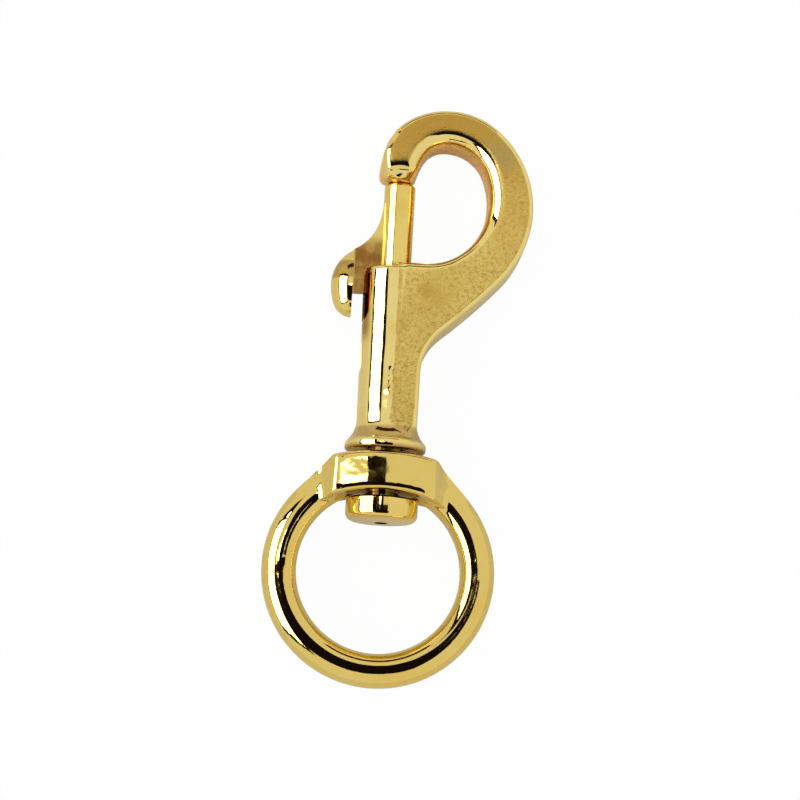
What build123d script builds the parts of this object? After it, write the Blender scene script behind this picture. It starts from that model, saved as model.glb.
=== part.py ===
# Brass snap hook: a flat-sided hook closed by a sliding bolt, on a swivelling round eye.
# It lies on its flat side. The origin is the middle of the eye, Y runs up the barrel's axis
# towards the hook, X points to the hook's back, and Z is up through the flats.
# Heights of the hook, barrel and bolt are measured along Y from the collar's foot.
from math import asin, cos, radians, sin, sqrt
import os

from build123d import *

# Barrel and collar
barrel_foot_radius = 4.70
barrel_rim_radius = 5.02
barrel_height = 28.95
rim_rounding = 0.45
collar_radius = 6.36
collar_foot_rounding = 0.5
collar_bead_height = 0.9
collar_bead_radius = 0.75
collar_bead_turn = 45
bolt_bore_radius = 2.52

# Flat-sided hook
flat_half_thickness = 4.75
flat_foot_height = 1.7
hook_foot_x = 4.62
throat_step = 0.8
throat_start_x = 4.5
throat_gap = 13.1
# Radius and turn in degrees of each arc, from the throat's floor round to the nose.
# The radii of both outlines are scaled together until the throat meets the nose.
throat_arcs = ((9.1, 60.7), (12.1, 52.6), (6.4, 71.8), (3.7, 54.1), (10.5, 24.7))
# Radius and turn of each arc, from the nose round the back to the crook
back_arcs = ((20.5, 10.5), (9.1, 52.9), (12.3, 66.9), (16.5, 91.2), (90.0, 8.0))
inner_edge_rounding = 1.4
outer_edge_rounding = 0.7
foot_slope_inner_radius = 5.3
foot_slope_outer_radius = 6.7
foot_slope_rise = 2.8

# Nose that the bolt closes on
nose_left_x = -3.5
nose_right_x = 2.3
nose_allowance = 0.6
nose_taper_length = 4.9
# Each section of the taper: its share of the length, its shift and its width as shares
# of the nose's half width, and its depth as a share of the plate's half thickness
nose_sections = (
    (0.0, 0.0, 0.84, 0.60),
    (0.1, 0.0, 1.00, 0.80),
    (0.3, 0.09, 1.12, 1.10),
    (0.6, 0.28, 1.34, 1.32),
    (1.0, 0.65, 1.72, 1.60),
)
cup_mouth_radius = 2.0
cup_depth = 0.75

# Bolt and thumb pad
bolt_radius = 2.42
bolt_travel = 11.5
bolt_seat_play = 0.06
bolt_tail_length = 1.5
spigot_radius = 1.35
spigot_length = 1.2
web_thickness = 1.9
web_foot_depth = 3.9
web_root_gap = 3.3
web_top_radius = 7.6
web_top_turn = 52
web_bite = 0.1
pad_inner_x = -6.65
pad_top_rise = 2.9
pad_top_heading = 208
# Radius and turn of each arc, from the pad's top round its back to the tip
pad_arcs = ((6.3, 62), (9.0, 21), (3.1, 59))
slot_side_play = 0.15
slot_end_play = 0.1

# Spring under the bolt
spring_wire_radius = 0.27
spring_coil_radius = 1.95
spring_turns = 9
spring_end_play = 0.05

# Swivel eye
eye_inner_radius = 12.7
eye_tube_radius = 2.7
boss_height = 5.65
boss_half_width = 8.1
boss_half_depth = 6.2
boss_side_half_depth = 5.4
boss_top_sag = 0.9
boss_foot_drop = 0.4
boss_foot_sag = 1.3
boss_edge_rounding = 0.9
collar_gap = 0.5
shoulder_angle = 52
shoulder_inset = 0.1
shoulder_end_x = 13.4
shoulder_end_half_depth = 1.9
rivet_hole_play = 0.06

# Rivet that holds the eye to the barrel
rivet_shank_radius = 2.5
rivet_tail_radius = 2.2
rivet_tail_length = 6.15
rivet_tail_chamfer = 0.3
button_radius = 5.62
button_height = 3.7
button_rounding = 1.1
button_crown = 0.25
button_top_chamfer = 0.3
button_gap = 0.15
centre_mark_radius = 1.05
centre_mark_depth = 0.9

# Places that follow from the sizes above
eye_pitch_radius = eye_inner_radius + eye_tube_radius
eye_outer_radius = eye_pitch_radius + eye_tube_radius
boss_top_y = eye_inner_radius + boss_height
collar_foot_y = boss_top_y + collar_gap
boss_foot_y = eye_inner_radius - boss_foot_drop
button_top_radius = button_radius - button_top_chamfer
button_top_y = sqrt(eye_inner_radius**2 - button_top_radius**2) - button_gap
button_foot_y = button_top_y - button_height
rivet_top_y = collar_foot_y + rivet_tail_length
throat_floor_height = barrel_height + throat_step
nose_end_height = throat_floor_height + throat_gap
cup_radius = (cup_mouth_radius**2 + cup_depth**2) / (2 * cup_depth)
cup_centre_height = nose_end_height + cup_depth - cup_radius
dome_radius = cup_radius - bolt_seat_play
dome_angle = asin(bolt_radius / dome_radius)
web_foot_height = barrel_height - web_foot_depth
web_root_height = nose_end_height - web_root_gap
pad_top_height = barrel_height + pad_top_rise
bolt_foot_height = web_foot_height - bolt_tail_length
slot_half_width = web_thickness / 2 + slot_side_play
slot_foot_height = web_foot_height - bolt_travel - slot_half_width - slot_end_play
pad_top = Vector(pad_inner_x, pad_top_height)
pad_top_way = Vector(cos(radians(pad_top_heading)), sin(radians(pad_top_heading)))
bore_top_height = throat_floor_height + throat_gap / 2
nose_centre_x = (nose_left_x + nose_right_x) / 2
nose_half_width = (nose_right_x - nose_left_x) / 2


def level(height, x=0.0):
    """Plane across the barrel's axis at a height above the collar's foot."""
    return Plane(origin=(x, collar_foot_y + height, 0), x_dir=(1, 0, 0), z_dir=(0, 1, 0))


def rise(arcs):
    """How far a chain of arcs climbs that starts out level."""
    climb = 0
    heading = 0
    for radius, turn in arcs:
        climb += radius * (cos(radians(heading)) - cos(radians(heading + turn)))
        heading += turn
    return climb


outline_scale = throat_gap / rise(throat_arcs)

# Planes through the barrel's axis at the collar's foot: along the flats, and across them
flats_plane = Plane(origin=(0, collar_foot_y, 0))
slot_plane = Plane(origin=(0, collar_foot_y, 0), x_dir=(0, 1, 0), z_dir=(1, 0, 0))


# The hook starts as a flat-sided plate with rounded edges.
with BuildPart() as flat_hook:
    with BuildSketch(flats_plane):
        with BuildLine():
            nose_side = Line(
                (nose_left_x, nose_end_height - nose_allowance),
                (nose_left_x, nose_end_height),
            )
            back = nose_side
            for radius, angle in back_arcs:
                back = JernArc(back @ 1, back % 1, radius * outline_scale, -angle)
            crook_angle = sum(angle for radius, angle in back_arcs) - 180
            crook_reach = (back @ 1).X - hook_foot_x
            crook = JernArc(
                back @ 1,
                back % 1,
                crook_reach / (1 - cos(radians(crook_angle))),
                crook_angle,
            )
            floor = Polyline(
                crook @ 1,
                (hook_foot_x, flat_foot_height),
                (0, flat_foot_height),
                (0, throat_floor_height),
                (throat_start_x, throat_floor_height),
            )
            throat = floor
            for radius, angle in throat_arcs:
                throat = JernArc(throat @ 1, throat % 1, radius * outline_scale, angle)
            nose_inside = Line(throat @ 1, throat @ 1 + nose_allowance * (throat % 1))
            Line(nose_inside @ 1, nose_side @ 0)
        make_face()
    extrude(amount=flat_half_thickness, both=True)
    for side in (flat_half_thickness, -flat_half_thickness):
        at_throat = (throat_start_x / 2, collar_foot_y + throat_floor_height, side)
        fillet(flat_hook.edges().sort_by_distance(at_throat)[0], inner_edge_rounding)
        at_back = (hook_foot_x, collar_foot_y + 2 * flat_foot_height, side)
        fillet(flat_hook.edges().sort_by_distance(at_back)[0], outer_edge_rounding)

# The plate's foot slopes in so that its corners stay behind the collar.
with BuildPart() as foot_waste:
    with BuildSketch(flats_plane):
        with BuildLine():
            Polyline(
                (foot_slope_inner_radius, flat_foot_height),
                (2 * collar_radius, flat_foot_height),
                (2 * collar_radius, flat_foot_height + foot_slope_rise),
                (foot_slope_outer_radius, flat_foot_height + foot_slope_rise),
                close=True,
            )
        make_face()
    revolve(axis=Axis.Y)

# The nose tapers from the flat plate to an oval end.
with BuildPart() as nose_oval:
    for share, shift, width_share, depth_share in nose_sections:
        section_x = nose_centre_x + shift * nose_half_width
        with BuildSketch(level(nose_end_height + share * nose_taper_length, section_x)):
            Ellipse(nose_half_width * width_share, flat_half_thickness * depth_share)
    loft()

with BuildPart() as nose_waste:
    with BuildSketch(level(nose_end_height - 2 * nose_allowance, nose_centre_x)):
        Rectangle(4 * nose_half_width, 4 * flat_half_thickness)
    extrude(amount=nose_taper_length + 2 * nose_allowance)
    add(nose_oval.part, mode=Mode.SUBTRACT)

# Hook, barrel and collar are one casting, bored and slotted for the bolt.
with BuildPart() as hook_body:
    add(flat_hook.part)
    add(foot_waste.part, mode=Mode.SUBTRACT)
    add(nose_waste.part, mode=Mode.SUBTRACT)
    with BuildSketch(flats_plane):
        with BuildLine():
            collar_foot = Line((0, 0), (collar_radius - collar_foot_rounding, 0))
            foot_round = RadiusArc(
                collar_foot @ 1,
                (collar_radius, collar_foot_rounding),
                -collar_foot_rounding,
            )
            edge = Line(foot_round @ 1, (collar_radius, collar_bead_height))
            bead = JernArc(edge @ 1, edge % 1, collar_bead_radius, collar_bead_turn)
            flare_reach = (bead @ 1).X - barrel_foot_radius
            flare = JernArc(
                bead @ 1,
                bead % 1,
                flare_reach / (1 - cos(radians(collar_bead_turn))),
                -collar_bead_turn,
            )
            rim_foot = (barrel_rim_radius, barrel_height - rim_rounding)
            Line(flare @ 1, rim_foot)
            rim_top = (barrel_rim_radius - rim_rounding, barrel_height)
            RadiusArc(rim_foot, rim_top, -rim_rounding)
            Polyline(rim_top, (0, barrel_height), (0, 0))
        make_face()
    revolve(axis=Axis.Y)
    with BuildSketch(level(rivet_tail_length)):
        Circle(bolt_bore_radius)
    extrude(amount=bore_top_height - rivet_tail_length, mode=Mode.SUBTRACT)
    with BuildSketch(level(0)):
        Circle(rivet_tail_radius)
    extrude(amount=rivet_tail_length, mode=Mode.SUBTRACT)
    with BuildSketch(slot_plane):
        with BuildLine():
            slot_round = ThreePointArc(
                (slot_foot_height + slot_half_width, slot_half_width),
                (slot_foot_height, 0),
                (slot_foot_height + slot_half_width, -slot_half_width),
            )
            Polyline(
                slot_round @ 1,
                (bore_top_height, -slot_half_width),
                (bore_top_height, slot_half_width),
                slot_round @ 0,
            )
        make_face()
    extrude(amount=-2 * barrel_rim_radius, mode=Mode.SUBTRACT)
    with BuildSketch(flats_plane):
        with BuildLine():
            cup_angle = asin(cup_mouth_radius / cup_radius)
            cup_mouth = (cup_mouth_radius, nose_end_height)
            cup_middle = (
                cup_radius * sin(cup_angle / 2),
                cup_centre_height + cup_radius * cos(cup_angle / 2),
            )
            cup_bottom = (0, nose_end_height + cup_depth)
            ThreePointArc(cup_mouth, cup_middle, cup_bottom)
            Polyline(
                cup_bottom,
                (0, nose_end_height - cup_depth),
                (cup_mouth_radius, nose_end_height - cup_depth),
                cup_mouth,
            )
        make_face()
    revolve(axis=Axis.Y, mode=Mode.SUBTRACT)
hook_body.part.label = "hook_body"

# The thumb pad is half round, with a flat inner side.
with BuildPart() as thumb_pad:
    with BuildSketch(flats_plane):
        with BuildLine():
            place, way = pad_top, pad_top_way
            for radius, angle in pad_arcs:
                pad_back = JernArc(place, way, radius, angle)
                place, way = pad_back @ 1, pad_back % 1
            Polyline(place, (pad_inner_x, place.Y), pad_top)
        make_face()
    revolve(axis=Axis((pad_inner_x, 0, 0), (0, 1, 0)))
    split(bisect_by=Plane.YZ.offset(pad_inner_x), keep=Keep.BOTTOM)

# The bolt is turned at its shank, with the web and the thumb pad cast on.
with BuildPart() as bolt:
    with BuildSketch(flats_plane):
        with BuildLine():
            dome_edge = (bolt_radius, cup_centre_height + dome_radius * cos(dome_angle))
            dome_middle = (
                dome_radius * sin(dome_angle / 2),
                cup_centre_height + dome_radius * cos(dome_angle / 2),
            )
            dome_tip = (0, cup_centre_height + dome_radius)
            Polyline(
                dome_tip,
                (0, bolt_foot_height - spigot_length),
                (spigot_radius, bolt_foot_height - spigot_length),
                (spigot_radius, bolt_foot_height),
                (bolt_radius, bolt_foot_height),
                dome_edge,
            )
            ThreePointArc(dome_edge, dome_middle, dome_tip)
        make_face()
    revolve(axis=Axis.Y)
    with BuildSketch(flats_plane):
        with BuildLine():
            web_top = JernArc(pad_top, -pad_top_way, web_top_radius, web_top_turn)
            Polyline(
                web_top @ 1,
                (-bolt_radius + web_bite, web_root_height),
                (0, web_root_height),
                (0, web_foot_height),
                (pad_inner_x - web_bite, web_foot_height),
                (pad_inner_x - web_bite, pad_top_height - web_bite),
                web_top @ 0,
            )
        make_face()
    extrude(amount=web_thickness / 2, both=True)
    add(thumb_pad.part)
bolt.part.label = "bolt"

# The spring pushes the bolt up from the rivet's tail.
with BuildPart() as bolt_spring:
    spring_foot = rivet_tail_length + spring_wire_radius + spring_end_play
    spring_top = bolt_foot_height - spring_wire_radius - spring_end_play
    with BuildLine():
        coil = Helix(
            pitch=(spring_top - spring_foot) / spring_turns,
            height=spring_top - spring_foot,
            radius=spring_coil_radius,
            center=(0, collar_foot_y + spring_foot, 0),
            direction=(0, 1, 0),
        )
    with BuildSketch(Plane(origin=coil @ 0, z_dir=coil % 0)):
        Circle(spring_wire_radius)
    sweep()
bolt_spring.part.label = "bolt_spring"

# The eye is a round ring cast in one with the block that the rivet passes through.
# The block's shoulders slope down to the ring in width and in depth.
with BuildPart() as swivel_ring:
    shoulder_turn = radians(shoulder_angle)
    shoulder_reach = eye_outer_radius - shoulder_inset
    with BuildSketch(Plane.XY):
        with BuildLine():
            block_top = ThreePointArc(
                (-boss_half_width, boss_top_y - boss_top_sag),
                (0, boss_top_y),
                (boss_half_width, boss_top_y - boss_top_sag),
            )
            block_foot = ThreePointArc(
                (-boss_half_width, boss_foot_y - boss_foot_sag),
                (0, boss_foot_y),
                (boss_half_width, boss_foot_y - boss_foot_sag),
            )
            shoulder = Polyline(
                block_top @ 1,
                (shoulder_reach * sin(shoulder_turn), shoulder_reach * cos(shoulder_turn)),
                (eye_pitch_radius * sin(shoulder_turn), eye_pitch_radius * cos(shoulder_turn)),
                block_foot @ 1,
            )
            mirror(shoulder, about=Plane.YZ)
        make_face()
    extrude(amount=boss_half_depth, both=True)
    with BuildSketch(Plane.XZ):
        with BuildLine():
            boss_face = ThreePointArc(
                (-boss_half_width, boss_side_half_depth),
                (0, boss_half_depth),
                (boss_half_width, boss_side_half_depth),
            )
            slope = Polyline(
                boss_face @ 1,
                (shoulder_end_x, shoulder_end_half_depth),
                (shoulder_end_x, 0),
            )
            mirror(slope, about=Plane.YZ)
            mirror(about=Plane.XZ)
        make_face()
    extrude(amount=2 * eye_outer_radius, both=True, mode=Mode.INTERSECT)
    clear_of_tube = swivel_ring.edges().filter_by(
        lambda edge: abs(edge.center().Z) > eye_tube_radius
    )
    fillet(clear_of_tube, boss_edge_rounding)
    with BuildSketch(Plane.XZ):
        with Locations((eye_pitch_radius, 0)):
            Circle(eye_tube_radius)
    revolve(axis=Axis.Z)
    with BuildSketch(Plane.XZ):
        Circle(rivet_shank_radius + rivet_hole_play)
    extrude(amount=-collar_foot_y, mode=Mode.SUBTRACT)
swivel_ring.part.label = "swivel_ring"

# The rivet's shank carries the eye, and its tail is pressed into the barrel's foot.
with BuildPart() as swivel_rivet:
    with BuildSketch(Plane.XY):
        with BuildLine():
            crown_edge = (button_radius - button_rounding, button_foot_y + button_crown)
            crown = ThreePointArc(
                (0, button_foot_y),
                (crown_edge[0] / 2, button_foot_y + button_crown / 4),
                crown_edge,
            )
            wall_foot = (button_radius, crown_edge[1] + button_rounding)
            RadiusArc(crown_edge, wall_foot, -button_rounding)
            Polyline(
                wall_foot,
                (button_radius, button_top_y - button_top_chamfer),
                (button_top_radius, button_top_y),
                (rivet_shank_radius, button_top_y),
                (rivet_shank_radius, collar_foot_y),
                (rivet_tail_radius, collar_foot_y),
                (rivet_tail_radius, rivet_top_y - rivet_tail_chamfer),
                (rivet_tail_radius - rivet_tail_chamfer, rivet_top_y),
                (0, rivet_top_y),
                (0, button_foot_y),
            )
        make_face()
    revolve(axis=Axis.Y)
    with BuildSketch(Plane.XZ.offset(-button_foot_y)):
        Circle(centre_mark_radius)
    extrude(amount=-centre_mark_depth, mode=Mode.SUBTRACT)
swivel_rivet.part.label = "swivel_rivet"

os.makedirs("parts", exist_ok=True)
export_step(hook_body.part, "parts/hook_body.step")
export_step(bolt.part, "parts/bolt.step")
export_step(bolt_spring.part, "parts/bolt_spring.step")
export_step(swivel_ring.part, "parts/swivel_ring.step")
export_step(swivel_rivet.part, "parts/swivel_rivet.step")
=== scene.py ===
"""Brass snap hook lying on a pale floor: ground flats, polished rounds and a sprung bolt."""
from math import cos, pi, radians, sin

import bmesh
import bpy
import numpy as np
from mathutils import Matrix, Vector
from mathutils.kdtree import KDTree


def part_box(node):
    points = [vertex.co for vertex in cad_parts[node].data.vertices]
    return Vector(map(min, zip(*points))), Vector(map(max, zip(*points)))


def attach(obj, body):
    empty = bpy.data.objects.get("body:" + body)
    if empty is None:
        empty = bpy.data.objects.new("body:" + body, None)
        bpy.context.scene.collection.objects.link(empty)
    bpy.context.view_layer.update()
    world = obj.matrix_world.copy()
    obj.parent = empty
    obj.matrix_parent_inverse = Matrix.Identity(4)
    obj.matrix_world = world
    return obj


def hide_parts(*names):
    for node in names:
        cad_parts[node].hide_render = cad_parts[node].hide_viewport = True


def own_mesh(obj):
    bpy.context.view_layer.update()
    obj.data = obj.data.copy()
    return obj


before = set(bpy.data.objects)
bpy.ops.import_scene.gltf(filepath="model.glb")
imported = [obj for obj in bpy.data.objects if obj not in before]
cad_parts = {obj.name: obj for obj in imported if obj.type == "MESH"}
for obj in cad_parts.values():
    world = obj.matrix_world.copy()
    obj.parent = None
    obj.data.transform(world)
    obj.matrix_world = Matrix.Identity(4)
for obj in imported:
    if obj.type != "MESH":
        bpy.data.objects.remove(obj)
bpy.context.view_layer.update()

# Where things are, in metres, in the frame of the model
MM = 0.001
collar_foot_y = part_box("hook_body")[0].y
hook_crown_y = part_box("hook_body")[1].y
plate_half_thickness = 4.75 * MM
collar_radius = 6.36 * MM
barrel_rim_y = collar_foot_y + 28.95 * MM
satin_start_x = 0.45 * MM
satin_end_x = -3.6 * MM

# What is reshaped on the castings, in millimetres
opening_x, opening_y = 7.5, 59.0
opening_radius = 12.5
throat_rounding, extra_rounding = 1.4, 1.1
nose_end_height = 13.9
block_shoulder_x = 7.9
block_half_depth = 5.6
shoulder_fall = 2.4
web_half_depth = 1.7
ring_middle_radius = 15.4
ring_bar_radius = 2.7
bore_radius = 2.6

# How often the points of a worked-over stretch are smoothed
edge_passes = 6
nose_passes = 26
shoulder_passes = 11

# Spring
wire_radius = 0.27 * MM
coil_radius = 1.95 * MM
coil_turns = 9

# Camera
aim = Vector((1.9 * MM, 27.3 * MM, 0))
camera_distance = 0.600
camera_tilt = radians(10.0)
camera_swing = radians(2.5)
camera_roll = radians(3.3)
frame_width = 0.12504
sensor_width = 36.0


def link(obj):
    """Puts an object into the scene."""
    bpy.context.scene.collection.objects.link(obj)
    return obj


def add_camera():
    """A long lens above the hook, leaning a little towards the eye."""
    towards = Vector((
        -sin(camera_swing),
        -sin(camera_tilt) * cos(camera_swing),
        cos(camera_tilt) * cos(camera_swing),
    ))
    up = Vector((0, 1, 0))
    up = (up - up.dot(towards) * towards).normalized()
    right = up.cross(towards)
    rolled_right = cos(camera_roll) * right + sin(camera_roll) * up
    rolled_up = cos(camera_roll) * up - sin(camera_roll) * right
    data = bpy.data.cameras.new("photo_camera")
    data.sensor_width = sensor_width
    data.lens = sensor_width * camera_distance / frame_width
    data.clip_end = 10
    camera = link(bpy.data.objects.new("photo_camera", data))
    turn = Matrix((rolled_right, rolled_up, towards)).transposed()
    camera.matrix_world = Matrix.Translation(aim + camera_distance * towards) @ turn.to_4x4()
    bpy.context.scene.camera = camera


# Materials

class Nodes:
    """Short calls for building a material's nodes."""

    def __init__(self, name):
        self.material = bpy.data.materials.new(name)
        self.material.use_nodes = True
        self.tree = self.material.node_tree
        self.tree.nodes.clear()
        self.output = self.add("ShaderNodeOutputMaterial")

    def add(self, kind, inputs=(), **settings):
        node = self.tree.nodes.new(kind)
        for name, value in settings.items():
            setattr(node, name, value)
        for socket, value in dict(inputs).items():
            self.feed(node.inputs[socket], value)
        return node

    def feed(self, socket, value):
        if isinstance(value, bpy.types.NodeSocket):
            self.tree.links.new(value, socket)
        else:
            socket.default_value = value

    def finish(self, shader):
        self.feed(self.output.inputs["Surface"], shader.outputs[0])
        return self.material

    def math(self, operation, *values):
        node = self.add("ShaderNodeMath", operation=operation)
        for socket, value in zip(node.inputs, values):
            self.feed(socket, value)
        return node.outputs[0]

    def noise(self, where, scale, detail=3.0, roughness=0.5):
        node = self.add("ShaderNodeTexNoise", {
            "Vector": where, "Scale": scale, "Detail": detail, "Roughness": roughness,
        })
        return node.outputs["Fac"]

    def ramp(self, value, start, end, low=0.0, high=1.0):
        """Smooth step from low to high while value goes from start to end."""
        node = self.add("ShaderNodeMapRange", {
            "Value": value, "From Min": start, "From Max": end, "To Min": low, "To Max": high,
        }, interpolation_type="SMOOTHSTEP")
        return node.outputs["Result"]

    def mix(self, share, first, second):
        """Plain number between first and second."""
        node = self.add("ShaderNodeMix", {"Factor": share, "A": first, "B": second})
        return node.outputs["Result"]

    def blend(self, share, first, second):
        """Colour between first and second."""
        node = self.add("ShaderNodeMix", data_type="RGBA")
        sockets = {socket.identifier: socket for socket in node.inputs}
        self.feed(sockets["Factor_Float"], share)
        self.feed(sockets["A_Color"], first)
        self.feed(sockets["B_Color"], second)
        return next(out for out in node.outputs if out.identifier == "Result_Color")

    def spot(self, place, centre, inner, outer):
        """One inside a ball and fading to zero outside it."""
        node = self.add("ShaderNodeVectorMath", {0: place, 1: centre}, operation="DISTANCE")
        return self.ramp(node.outputs["Value"], inner, outer, 1.0, 0.0)

    def band(self, value, start, end, soft):
        """One between start and end, fading over soft at both ends."""
        rising = self.ramp(value, start - soft, start)
        falling = self.ramp(value, end, end + soft, 1.0, 0.0)
        return self.math("MULTIPLY", rising, falling)


# Colours
polished_colour = (0.86, 0.655, 0.185, 1)
barrel_colour = (0.88, 0.70, 0.245, 1)
warm_colour = (0.80, 0.54, 0.11, 1)
# Dark brown for painted shade in recesses and for painted reflections
painted_shade_and_reflection_brown = (0.28, 0.11, 0.020, 1)
# Near black for painted shade between parts and for the dark mark on the rivet's head
dark_mark_and_shade_colour = (0.05, 0.022, 0.007, 1)
ring_colour = (0.80, 0.60, 0.165, 1)
steel_colour = (0.50, 0.50, 0.52, 1)
oily_steel_colour = (0.30, 0.28, 0.27, 1)
satin_colour = (0.82, 0.605, 0.165, 1)
satin_dull_colour = (0.60, 0.39, 0.075, 1)
crown_colour = (0.52, 0.30, 0.050, 1)
wall_colour = (0.84, 0.43, 0.10, 1)
patch_colour = (0.46, 0.33, 0.10, 1)


def warm_patches(nodes, place):
    """Share of warmer colour on buffed brass."""
    return nodes.ramp(nodes.noise(place, 170.0, 4.0, 0.6), 0.46, 0.72, 0.0, 0.7)


def buffed_smear(nodes, place):
    """Roughness of buffed brass."""
    return nodes.ramp(nodes.noise(place, 420.0, 4.0, 0.65), 0.35, 0.7, 0.02, 0.07)


def hand_waves(nodes, place):
    """Height of the slow waves that buffing by hand leaves."""
    return nodes.noise(place, 260.0, 2.0, 0.45)


def metal_shader(nodes, colour, roughness, height):
    """Bare metal with a fine relief."""
    bump = nodes.add("ShaderNodeBump", {"Height": height, "Strength": 0.4, "Distance": 0.00012})
    return nodes.finish(nodes.add("ShaderNodeBsdfPrincipled", {
        "Base Color": colour, "Metallic": 1.0, "Roughness": roughness,
        "Normal": bump.outputs["Normal"],
    }))


def polished_brass(name, darkening, clean_colour, dark_colour):
    """Buffed cast brass: a faintly wavy mirror, warmer in patches, darker with painted shade and painted
    reflections, and dark in a mark.

    darkening takes the nodes and the place and gives the share of the dark colour, which paints shade,
    reflections and a mark.
    """
    nodes = Nodes(name)
    place = nodes.add("ShaderNodeTexCoord").outputs["Object"]
    colour = nodes.blend(warm_patches(nodes, place), clean_colour, warm_colour)
    ragged = nodes.ramp(nodes.noise(place, 500.0), 0.25, 0.6, 0.65, 1.0)
    darkened = nodes.math("MULTIPLY", darkening(nodes, place), ragged)
    colour = nodes.blend(darkened, colour, dark_colour)
    return metal_shader(nodes, colour, buffed_smear(nodes, place), hand_waves(nodes, place))


def web_shade_and_rim_reflection(nodes, place):
    """Painted shade between the bolt and the thumb pad, and a painted reflection of the barrel's rim on
    the bolt level with it.
    """
    axes = nodes.add("ShaderNodeSeparateXYZ", {"Vector": place})
    across = nodes.band(axes.outputs["X"], -6.3 * MM, -2.5 * MM, 0.5 * MM)
    along = nodes.band(axes.outputs["Y"], 42.0 * MM, 51.0 * MM, 2.5 * MM)
    foot = nodes.band(axes.outputs["Y"], 46.0 * MM, 48.4 * MM, 0.5 * MM)
    web = nodes.math("MULTIPLY", across, along)
    web_share = nodes.math("MULTIPLY", web, 0.95)
    foot_share = nodes.math("MULTIPLY", foot, 0.6)
    return nodes.math("MAXIMUM", web_share, foot_share)


def collar_gap_shade(nodes, place):
    """Painted shade on the block's top, in the gap under the collar."""
    y = nodes.add("ShaderNodeSeparateXYZ", {"Vector": place}).outputs["Y"]
    return nodes.ramp(y, 18.0 * MM, 18.4 * MM, 0.0, 0.8)


def rivet_mark_and_shank_shade(nodes, place):
    """A dark mark in the middle of the rivet's head, and painted shade on its shank."""
    y = nodes.add("ShaderNodeSeparateXYZ", {"Vector": place}).outputs["Y"]
    mark = nodes.spot(place, (0, 8.4 * MM, 0), 0.9 * MM, 1.4 * MM)
    shank = nodes.ramp(y, 11.3 * MM, 11.5 * MM, 0.0, 1.0)
    return nodes.math("MAXIMUM", mark, shank)


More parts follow.
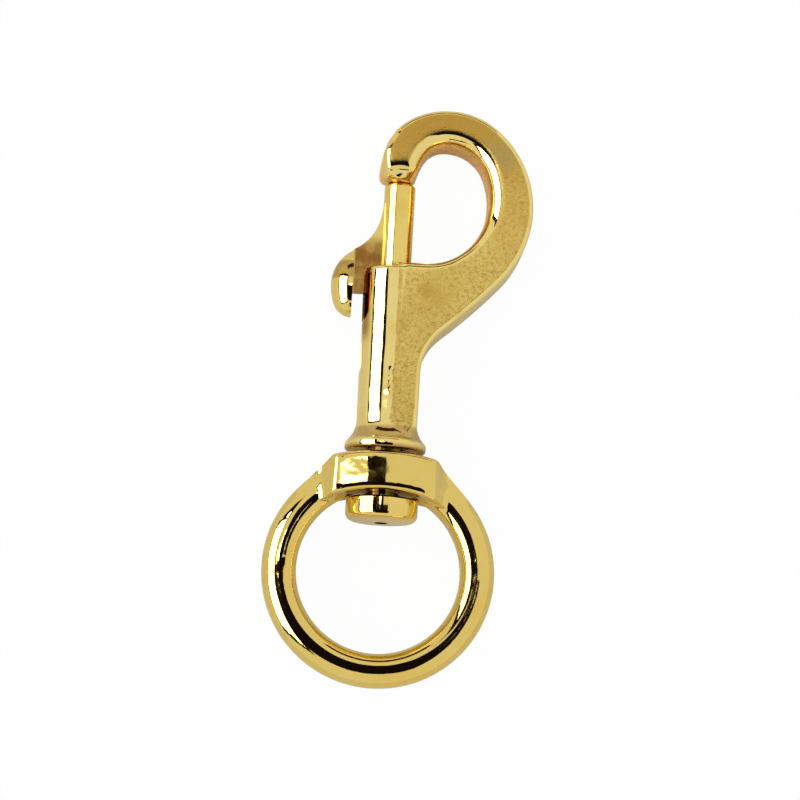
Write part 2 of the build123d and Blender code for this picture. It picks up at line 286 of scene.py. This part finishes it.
def ground_brass(name):
    """Cast brass ground on its flats and buffed on its rounds, with a soft change between them."""
    nodes = Nodes(name)
    coordinates = nodes.add("ShaderNodeTexCoord")
    place = coordinates.outputs["Object"]
    normal = nodes.add("ShaderNodeSeparateXYZ", {"Vector": coordinates.outputs["Normal"]})
    axes = nodes.add("ShaderNodeSeparateXYZ", {"Vector": place})
    x, y = axes.outputs["X"], axes.outputs["Y"]
    wander = nodes.math("MULTIPLY", nodes.math("SUBTRACT", nodes.noise(place, 350.0), 0.5), 0.6 * MM)

    # The flats are ground all over the hook, and only on the hook's side along the barrel.
    facing = nodes.math("ABSOLUTE", normal.outputs["Z"])
    level = nodes.ramp(facing, 0.965, 0.993)
    past_rim = nodes.ramp(y, barrel_rim_y - 0.3 * MM, barrel_rim_y + 0.8 * MM)
    limit = nodes.math("ADD", nodes.mix(past_rim, satin_start_x, satin_end_x), wander)
    beyond = nodes.ramp(nodes.math("SUBTRACT", x, limit), -0.15 * MM, 0.15 * MM)
    wandering_y = nodes.math("ADD", y, wander)
    above_flare = nodes.ramp(wandering_y, collar_foot_y + 2.6 * MM, collar_foot_y + 3.6 * MM)
    ground = nodes.math("MULTIPLY", nodes.math("MULTIPLY", level, beyond), above_flare)

    # Colour: cloudy over the flats, warm at the crown and dull in the pits, with painted shade and
    # painted reflections by the collar, beside the slot and in the throat.
    cloud = nodes.ramp(nodes.noise(place, 120.0, 4.0, 0.6), 0.40, 0.70, 0.0, 0.7)
    mottle = nodes.ramp(nodes.noise(place, 1500.0, 5.0, 0.75), 0.42, 0.62, 0.0, 0.9)
    satin = nodes.blend(nodes.math("MAXIMUM", cloud, mottle), satin_colour, satin_dull_colour)
    drift = nodes.math("MULTIPLY", nodes.math("SUBTRACT", nodes.noise(place, 90.0), 0.5), 16 * MM)
    crown = nodes.ramp(nodes.math("ADD", y, drift), barrel_rim_y, hook_crown_y, 0.0, 0.95)
    satin = nodes.blend(crown, satin, crown_colour)
    patch = nodes.spot(place, (15.3 * MM, 66.3 * MM, 4.75 * MM), 0.8 * MM, 4.2 * MM)
    satin = nodes.blend(nodes.math("MULTIPLY", patch, 0.75), satin, patch_colour)
    spot = nodes.spot(place, (4.6 * MM, 44.0 * MM, 4.75 * MM), 0.3 * MM, 1.8 * MM)
    satin = nodes.blend(nodes.math("MULTIPLY", spot, 0.5), satin, crown_colour)
    buffed = nodes.blend(warm_patches(nodes, place), barrel_colour, warm_colour)
    colour = nodes.blend(ground, buffed, satin)
    # Painted shade in the gap at the collar's foot.
    gap = nodes.ramp(y, collar_foot_y + 0.1 * MM, collar_foot_y + 0.9 * MM, 0.75, 0.0)
    colour = nodes.blend(gap, colour, painted_shade_and_reflection_brown)
    # Painted reflection, dark brown, on the collar's flare, and painted shade on the barrel's side
    # beside the slot, by the thumb pad.
    flare = nodes.band(wandering_y, collar_foot_y + 1.8 * MM, collar_foot_y + 3.2 * MM, 0.7 * MM)
    beside_slot = nodes.math(
        "MULTIPLY", nodes.ramp(x, -4.3 * MM, -3.3 * MM, 1.0, 0.0),
        nodes.band(y, 38.0 * MM, barrel_rim_y, 3.0 * MM),
    )
    flare_share = nodes.math("MULTIPLY", flare, 0.5)
    slot_share = nodes.math("MULTIPLY", beside_slot, 0.75)
    colour = nodes.blend(nodes.math("MAXIMUM", flare_share, slot_share), colour, painted_shade_and_reflection_brown)
    # Orange-brown on the throat's inner wall: tarnish and a painted reflection of the brass around it.
    wall = nodes.ramp(facing, 0.25, 0.5, 0.6, 0.0)
    opening = nodes.spot(place, (opening_x * MM, opening_y * MM, 0), 11.5 * MM, opening_radius * MM)
    colour = nodes.blend(nodes.math("MULTIPLY", wall, opening), colour, wall_colour)

    # Roughness: brushed on the flats and on the plate's upright sides, smeared on the rounds.
    brushed = nodes.ramp(nodes.noise(place, 700.0, 4.0, 0.6), 0.3, 0.7, 0.20, 0.32)
    upright = nodes.ramp(facing, 0.3, 0.6, 1.0, 0.0)
    plate_side = nodes.math("MULTIPLY", upright, nodes.ramp(x, 4.0 * MM, 5.0 * MM))
    rough_share = nodes.math("MAXIMUM", ground, plate_side)
    roughness = nodes.mix(rough_share, buffed_smear(nodes, place), brushed)

    # Relief: waves, calmer on the hook's side of the barrel, with grain and pits on the flats.
    calm = nodes.math(
        "MULTIPLY", nodes.ramp(x, -2.2 * MM, -1.4 * MM),
        nodes.band(y, collar_foot_y + 4.5 * MM, barrel_rim_y - 1.0 * MM, 2.0 * MM),
    )
    waves = nodes.math("MULTIPLY", hand_waves(nodes, place), nodes.mix(calm, 1.0, 0.2))
    grain = nodes.math("MULTIPLY", nodes.noise(place, 4200.0, 3.0, 0.6), ground)
    pits = nodes.ramp(nodes.noise(place, 1500.0, 2.0, 0.5), 0.66, 0.74, 0.0, -1.0)
    height = nodes.math("ADD", waves, nodes.math("MULTIPLY", grain, 0.32))
    height = nodes.math("ADD", height, nodes.math("MULTIPLY", pits, nodes.math("MULTIPLY", ground, 0.3)))
    return metal_shader(nodes, colour, roughness, height)


def drawn_steel(name):
    """Grey spring wire, a little oily."""
    nodes = Nodes(name)
    place = nodes.add("ShaderNodeTexCoord").outputs["Object"]
    streaks = nodes.noise(place, 2600.0, 3.0, 0.6)
    colour = nodes.blend(nodes.ramp(streaks, 0.4, 0.7), steel_colour, oily_steel_colour)
    roughness = nodes.ramp(streaks, 0.3, 0.7, 0.22, 0.36)
    return nodes.finish(nodes.add("ShaderNodeBsdfPrincipled", {
        "Base Color": colour, "Metallic": 1.0, "Roughness": roughness,
    }))


# Stage

floor_size = 6.0
sky_level = 0.86
lamp_radiance = 1.0
white_card_level = 6.0


def plain_surface(name, colour):
    nodes = Nodes(name)
    return nodes.finish(nodes.add("ShaderNodeBsdfDiffuse", {"Color": colour}))


def glowing_surface(name, level):
    nodes = Nodes(name)
    return nodes.finish(nodes.add("ShaderNodeEmission", {"Color": (1, 1, 1, 1), "Strength": level}))


def white_floor_surface(name):
    """Pale paper that the camera sees as white, with a trace of the part's shadow."""
    nodes = Nodes(name)
    paper = nodes.add("ShaderNodeBsdfDiffuse", {"Color": (0.78, 0.77, 0.75, 1)})
    glow = nodes.add("ShaderNodeEmission", {"Color": (1, 1, 1, 1), "Strength": 1.0})
    path = nodes.add("ShaderNodeLightPath")
    share = nodes.math("MULTIPLY", path.outputs["Is Camera Ray"], 0.97)
    return nodes.finish(nodes.add("ShaderNodeMixShader", {
        0: share, 1: paper.outputs[0], 2: glow.outputs[0],
    }))


def rest_floor():
    """The pale floor under the collar and the hook's crown, which the part rests on."""
    foot = Vector((0, collar_foot_y, -collar_radius))
    top = Vector((0, hook_crown_y - 6 * MM, -plate_half_thickness))
    along = (top - foot).normalized()
    across = Vector((1, 0, 0))
    corners = [
        foot + across * i * floor_size / 2 + along * j * floor_size / 2
        for i, j in ((-1, -1), (1, -1), (1, 1), (-1, 1))
    ]
    mesh = bpy.data.meshes.new("floor")
    mesh.from_pydata(corners, [], [(0, 1, 2, 3)])
    mesh.materials.append(white_floor_surface("floor_paper"))
    link(bpy.data.objects.new("floor", mesh))


def face_towards(obj, place, target):
    obj.location = place
    obj.rotation_euler = (Vector(target) - Vector(place)).to_track_quat("-Z", "Y").to_euler()


def soft_box(name, place, target, width, height, radiance):
    """A rectangular studio light that shows as a white panel in the brass."""
    data = bpy.data.lights.new(name, "AREA")
    data.shape = "RECTANGLE"
    data.size = width
    data.size_y = height
    data.energy = radiance * pi * width * height
    face_towards(link(bpy.data.objects.new(name, data)), place, target)


def card(name, place, target, width, height, material):
    """A card that shows only in the brass."""
    mesh = bpy.data.meshes.new(name)
    x, y = width / 2, height / 2
    mesh.from_pydata([(-x, -y, 0), (x, -y, 0), (x, y, 0), (-x, y, 0)], [], [(0, 1, 2, 3)])
    mesh.materials.append(material)
    obj = link(bpy.data.objects.new(name, mesh))
    face_towards(obj, place, target)
    obj.visible_camera = False
    obj.visible_diffuse = False
    obj.visible_shadow = False


def flat_card(name, left, right, low, high, above, material):
    """A level card over the hook, with its four edges and its height in metres."""
    place = Vector(((left + right) / 2, (low + high) / 2, above))
    card(name, place, place - Vector((0, 0, 1)), right - left, high - low, material)


def light_scene():
    """Soft sky, a lamp and a white panel on the left, and the cards that the brass mirrors."""
    world = bpy.data.worlds.new("studio")
    bpy.context.scene.world = world
    world.use_nodes = True
    background = world.node_tree.nodes["Background"]
    background.inputs["Color"].default_value = (sky_level, sky_level, sky_level, 1)
    background.inputs["Strength"].default_value = 1.0
    middle = (0, collar_foot_y, 0)
    black = plain_surface("black_card", (0.012, 0.007, 0.004, 1))
    white = glowing_surface("white_card", white_card_level)
    soft_box("left_lamp", (-0.47, 0.0, 0.348), middle, 0.62, 0.40, lamp_radiance)
    card("left_panel", (-0.46, 0.0, 0.34), middle, 0.62, 0.46, white)
    card("left_surround", (-0.475, 0.0, 0.351), middle, 0.80, 0.62, black)
    above = 0.62
    flat_card("camera_card", -0.33, 0.20, -0.305, 0.075, above, black)
    flat_card("block_black_card", -0.06, 0.03, 0.075, 0.124, above, black)
    flat_card("block_white_card", -0.21, -0.06, 0.078, 0.115, above, white)
    flat_card("eye_left_card", -0.016, -0.006, -0.024, 0.016, 0.035, black)
    flat_card("eye_right_card", -0.006, 0.013, -0.024, 0.005, 0.035, black)
    brown = plain_surface("brown_card", (0.09, 0.05, 0.018, 1))
    card("far_card", (0.0, 0.60, 0.32), middle, 0.70, 0.16, brown)


# Pieces

def smooth_copy(node, name, sharp_angle=30.0):
    """The CAD node's own surface, welded and shaded smooth up to its sharp edges."""
    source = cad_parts[node]
    mesh = source.data.copy()
    mesh.name = name
    mesh.materials.clear()
    work = bmesh.new()
    work.from_mesh(mesh)
    bmesh.ops.remove_doubles(work, verts=work.verts, dist=1e-6)
    for face in work.faces:
        face.smooth = True
    for edge in work.edges:
        edge.smooth = len(edge.link_faces) == 2 and edge.calc_face_angle() < radians(sharp_angle)
    work.to_mesh(mesh)
    work.free()
    mesh.update()
    return link(bpy.data.objects.new(name, mesh))


def cast_copy(node, name, cell, change):
    """The CAD node's surface as an even mesh, so that it can be worked over like a casting.

    change takes the points in mm and gives the new points and how often each is smoothed.
    """
    guide = smooth_copy(node, name + "_guide")
    rough = smooth_copy(node, name + "_rough")
    even = rough.modifiers.new("Even", "REMESH")
    even.mode = "VOXEL"
    even.voxel_size = cell
    hug = rough.modifiers.new("Hug", "SHRINKWRAP")
    hug.target = guide
    bpy.context.view_layer.update()
    shown = rough.evaluated_get(bpy.context.evaluated_depsgraph_get())
    mesh = bpy.data.meshes.new_from_object(shown)
    mesh.name = name
    points = np.empty(len(mesh.vertices) * 3)
    mesh.vertices.foreach_get("co", points)
    points, passes = change(points.reshape(-1, 3) / MM)
    mesh.vertices.foreach_set("co", (points * MM).ravel())
    work = bmesh.new()
    work.from_mesh(mesh)
    work.verts.ensure_lookup_table()
    for step in range(passes.max()):
        chosen = [work.verts[i] for i in np.flatnonzero(passes > step)]
        bmesh.ops.smooth_vert(
            work, verts=chosen, factor=0.5, use_axis_x=True, use_axis_y=True, use_axis_z=True,
        )
    for face in work.faces:
        face.smooth = True
    work.to_mesh(mesh)
    work.free()
    for helper in (guide, rough):
        bpy.data.objects.remove(helper)
    return link(bpy.data.objects.new(name, mesh))


def smooth_step(value, start, end):
    share = np.clip((value - start) / (end - start), 0, 1)
    return share * share * (3 - 2 * share)


def throat_wall():
    """Points along the throat's wall with the way into the metal, from the CAD node."""
    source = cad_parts["hook_body"].data
    middle = Vector((opening_x, opening_y))
    samples = {}
    for face in source.polygons:
        centre = face.center / MM
        inside = (centre.xy - middle).length < opening_radius
        if abs(face.normal.z) > 0.05 or not inside or centre.y < barrel_rim_y / MM + 0.9:
            continue
        if face.normal.xy.dot(middle - centre.xy) < 0:
            continue
        way = -face.normal.xy.normalized()
        corners = [source.vertices[i].co.xy / MM for i in face.vertices]
        for first in corners:
            for second in corners:
                for share in (0.0, 0.25, 0.5):
                    spot = first.lerp(second, share)
                    samples[(round(spot.x, 2), round(spot.y, 2))] = way
    tree = KDTree(len(samples))
    ways = []
    for number, ((x, y), way) in enumerate(samples.items()):
        tree.insert((x, y, 0), number)
        ways.append(way)
    tree.balance()
    return tree, ways


def round_hook(points):
    """Rounds the throat's edges further and softens the nose, as buffing did."""
    tree, ways = throat_wall()
    half = plate_half_thickness / MM
    x, y, z = points.T
    rim_y = barrel_rim_y / MM
    around = np.hypot(x - opening_x, y - opening_y) < opening_radius + 3.0
    near = (y > rim_y + 0.6) & around & (np.abs(z) > half - 2.6)
    for i in np.flatnonzero(near):
        spot, number, gap = tree.find((x[i], y[i], 0))
        way = ways[number]
        depth = (x[i] - spot.x) * way.x + (y[i] - spot.y) * way.y
        rounding = throat_rounding + extra_rounding * smooth_step(y[i], rim_y + 2.0, rim_y + 9.0)
        low = half - rounding
        aside, above = depth - rounding, abs(z[i]) - low
        reach = np.hypot(aside, above)
        if gap > rounding + 0.4 or aside > 0 or above < 0 or reach < rounding:
            continue
        shift = rounding + aside * rounding / reach - depth
        points[i] = (
            x[i] + way.x * shift, y[i] + way.y * shift, np.sign(z[i]) * (low + above * rounding / reach),
        )
    nose_end = rim_y + nose_end_height
    nose = (y > nose_end - 0.5) & (y < nose_end + np.where(x < 0.5, 7.5, 5.5)) & (x < 4.5)
    cup = (np.hypot(x, z) < 2.3) & (y < nose_end + 1.0)
    height = y - collar_foot_y / MM
    plate_foot = (height > 1.9) & (height < 6.5) & (x > 1.2) & (np.hypot(x, z) > 4.6)
    rim = (np.abs(y - rim_y) < 1.0) & (np.hypot(x, z) > 3.9) & (x < 4.0)
    passes = np.where(near | plate_foot | rim, edge_passes, 0)
    passes[nose & ~cup] = nose_passes
    return points, passes


def carve_eye(points):
    """Cuts the block's sides down steeply to the ring, and keeps the rivet's hole round."""
    x, y, z = points.T
    aside = np.abs(x) - block_shoulder_x
    off_tube = np.hypot(x, y) - ring_middle_radius
    tube = np.sqrt(np.maximum(ring_bar_radius**2 - off_tube**2, 0))
    floor = np.maximum(tube, web_half_depth)
    fall = np.clip(1 - aside / shoulder_fall, 0, 1) ** 2
    slope = floor + np.maximum(block_half_depth - floor, 0) * fall
    limit = np.where(aside > 0, slope, np.abs(z))
    carved = (np.abs(z) > limit) & (y > 7.5)
    z = np.where(carved, np.sign(z) * limit, z)
    off_axis = np.hypot(x, z)
    bore = (off_axis < bore_radius + 0.8) & (y > 11.0) & (y < 19.5)
    tight = bore & (off_axis < bore_radius + 0.1)
    grow = np.where(tight, bore_radius / np.maximum(off_axis, 1e-6), 1.0)
    points = np.stack([x * grow, y, z * grow], axis=1)
    shoulders = (np.abs(x) > block_shoulder_x - 1.2) & (y > 7.0) & ~bore
    return points, np.where(shoulders, shoulder_passes, 0)


def place_piece(piece, node, body, material):
    """Gives a piece its finish and its place in the model."""
    piece.data.materials.clear()
    piece.data.materials.append(material)
    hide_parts(node)
    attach(piece, body)


def coil_spring(name, material):
    """Wire wound round the bolt's axis between the rivet's tail and the bolt's foot."""
    low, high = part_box("bolt_spring")
    length = high.y - low.y - 2 * wire_radius
    tree = bpy.data.node_groups.new(name, "GeometryNodeTree")
    tree.interface.new_socket("Geometry", in_out="OUTPUT", socket_type="NodeSocketGeometry")
    turns = tree.interface.new_socket("Turns", in_out="INPUT", socket_type="NodeSocketFloat")
    height = tree.interface.new_socket("Height", in_out="INPUT", socket_type="NodeSocketFloat")
    reach = tree.interface.new_socket("Coil radius", in_out="INPUT", socket_type="NodeSocketFloat")
    wire = tree.interface.new_socket("Wire radius", in_out="INPUT", socket_type="NodeSocketFloat")
    given = tree.nodes.new("NodeGroupInput")
    spiral = tree.nodes.new("GeometryNodeCurveSpiral")
    spiral.inputs["Resolution"].default_value = 28
    section = tree.nodes.new("GeometryNodeCurvePrimitiveCircle")
    section.inputs["Resolution"].default_value = 12
    sweep = tree.nodes.new("GeometryNodeCurveToMesh")
    sweep.inputs["Fill Caps"].default_value = True
    turn = tree.nodes.new("GeometryNodeTransform")
    turn.inputs["Rotation"].default_value = (-pi / 2, 0, 0)
    turn.inputs["Translation"].default_value = (0, low.y + wire_radius, 0)
    smooth = tree.nodes.new("GeometryNodeSetShadeSmooth")
    realize = tree.nodes.new("GeometryNodeRealizeInstances")
    paint = tree.nodes.new("GeometryNodeSetMaterial")
    paint.inputs["Material"].default_value = material
    end = tree.nodes.new("NodeGroupOutput")
    links = tree.links
    links.new(given.outputs["Turns"], spiral.inputs["Rotations"])
    links.new(given.outputs["Height"], spiral.inputs["Height"])
    links.new(given.outputs["Coil radius"], spiral.inputs["Start Radius"])
    links.new(given.outputs["Coil radius"], spiral.inputs["End Radius"])
    links.new(given.outputs["Wire radius"], section.inputs["Radius"])
    links.new(spiral.outputs["Curve"], sweep.inputs["Curve"])
    links.new(section.outputs["Curve"], sweep.inputs["Profile Curve"])
    links.new(sweep.outputs["Mesh"], turn.inputs["Geometry"])
    links.new(turn.outputs["Geometry"], smooth.inputs["Geometry"])
    links.new(smooth.outputs["Geometry"], realize.inputs["Geometry"])
    links.new(realize.outputs["Geometry"], paint.inputs["Geometry"])
    links.new(paint.outputs["Geometry"], end.inputs["Geometry"])
    maker = link(bpy.data.objects.new(name + "_maker", bpy.data.meshes.new(name + "_maker")))
    wind = maker.modifiers.new("Wind", "NODES")
    wind.node_group = tree
    wind[turns.identifier] = float(coil_turns)
    wind[height.identifier] = length
    wind[reach.identifier] = coil_radius
    wind[wire.identifier] = wire_radius
    bpy.context.view_layer.update()
    shown = maker.evaluated_get(bpy.context.evaluated_depsgraph_get())
    mesh = bpy.data.meshes.new_from_object(shown)
    mesh.name = name
    bpy.data.objects.remove(maker)
    piece = link(bpy.data.objects.new(name, mesh))
    return piece, low.y, length


add_camera()
rest_floor()
light_scene()

body_brass = ground_brass("ground_and_buffed_brass")
bolt_brass = polished_brass("buffed_bolt_brass", web_shade_and_rim_reflection, polished_colour, painted_shade_and_reflection_brown)
eye_brass = polished_brass("buffed_eye_brass", collar_gap_shade, ring_colour, dark_mark_and_shade_colour)
rivet_brass = polished_brass("buffed_rivet_brass", rivet_mark_and_shank_shade, polished_colour, dark_mark_and_shade_colour)
hook = cast_copy("hook_body", "hook_casting", 0.25 * MM, round_hook)
place_piece(hook, "hook_body", "hook", body_brass)
plunger = smooth_copy("bolt", "sliding_bolt")
place_piece(plunger, "bolt", "bolt", bolt_brass)
eye = cast_copy("swivel_ring", "swivel_eye", 0.22 * MM, carve_eye)
place_piece(eye, "swivel_ring", "eye", eye_brass)
rivet = smooth_copy("swivel_rivet", "headed_rivet")
place_piece(rivet, "swivel_rivet", "hook", rivet_brass)

steel = drawn_steel("drawn_steel")
spring, spring_foot_y, spring_length = coil_spring("coil_spring", steel)
place_piece(spring, "bolt_spring", "hook", steel)
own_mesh(spring)

bpy.context.scene.view_settings.view_transform = "Standard"
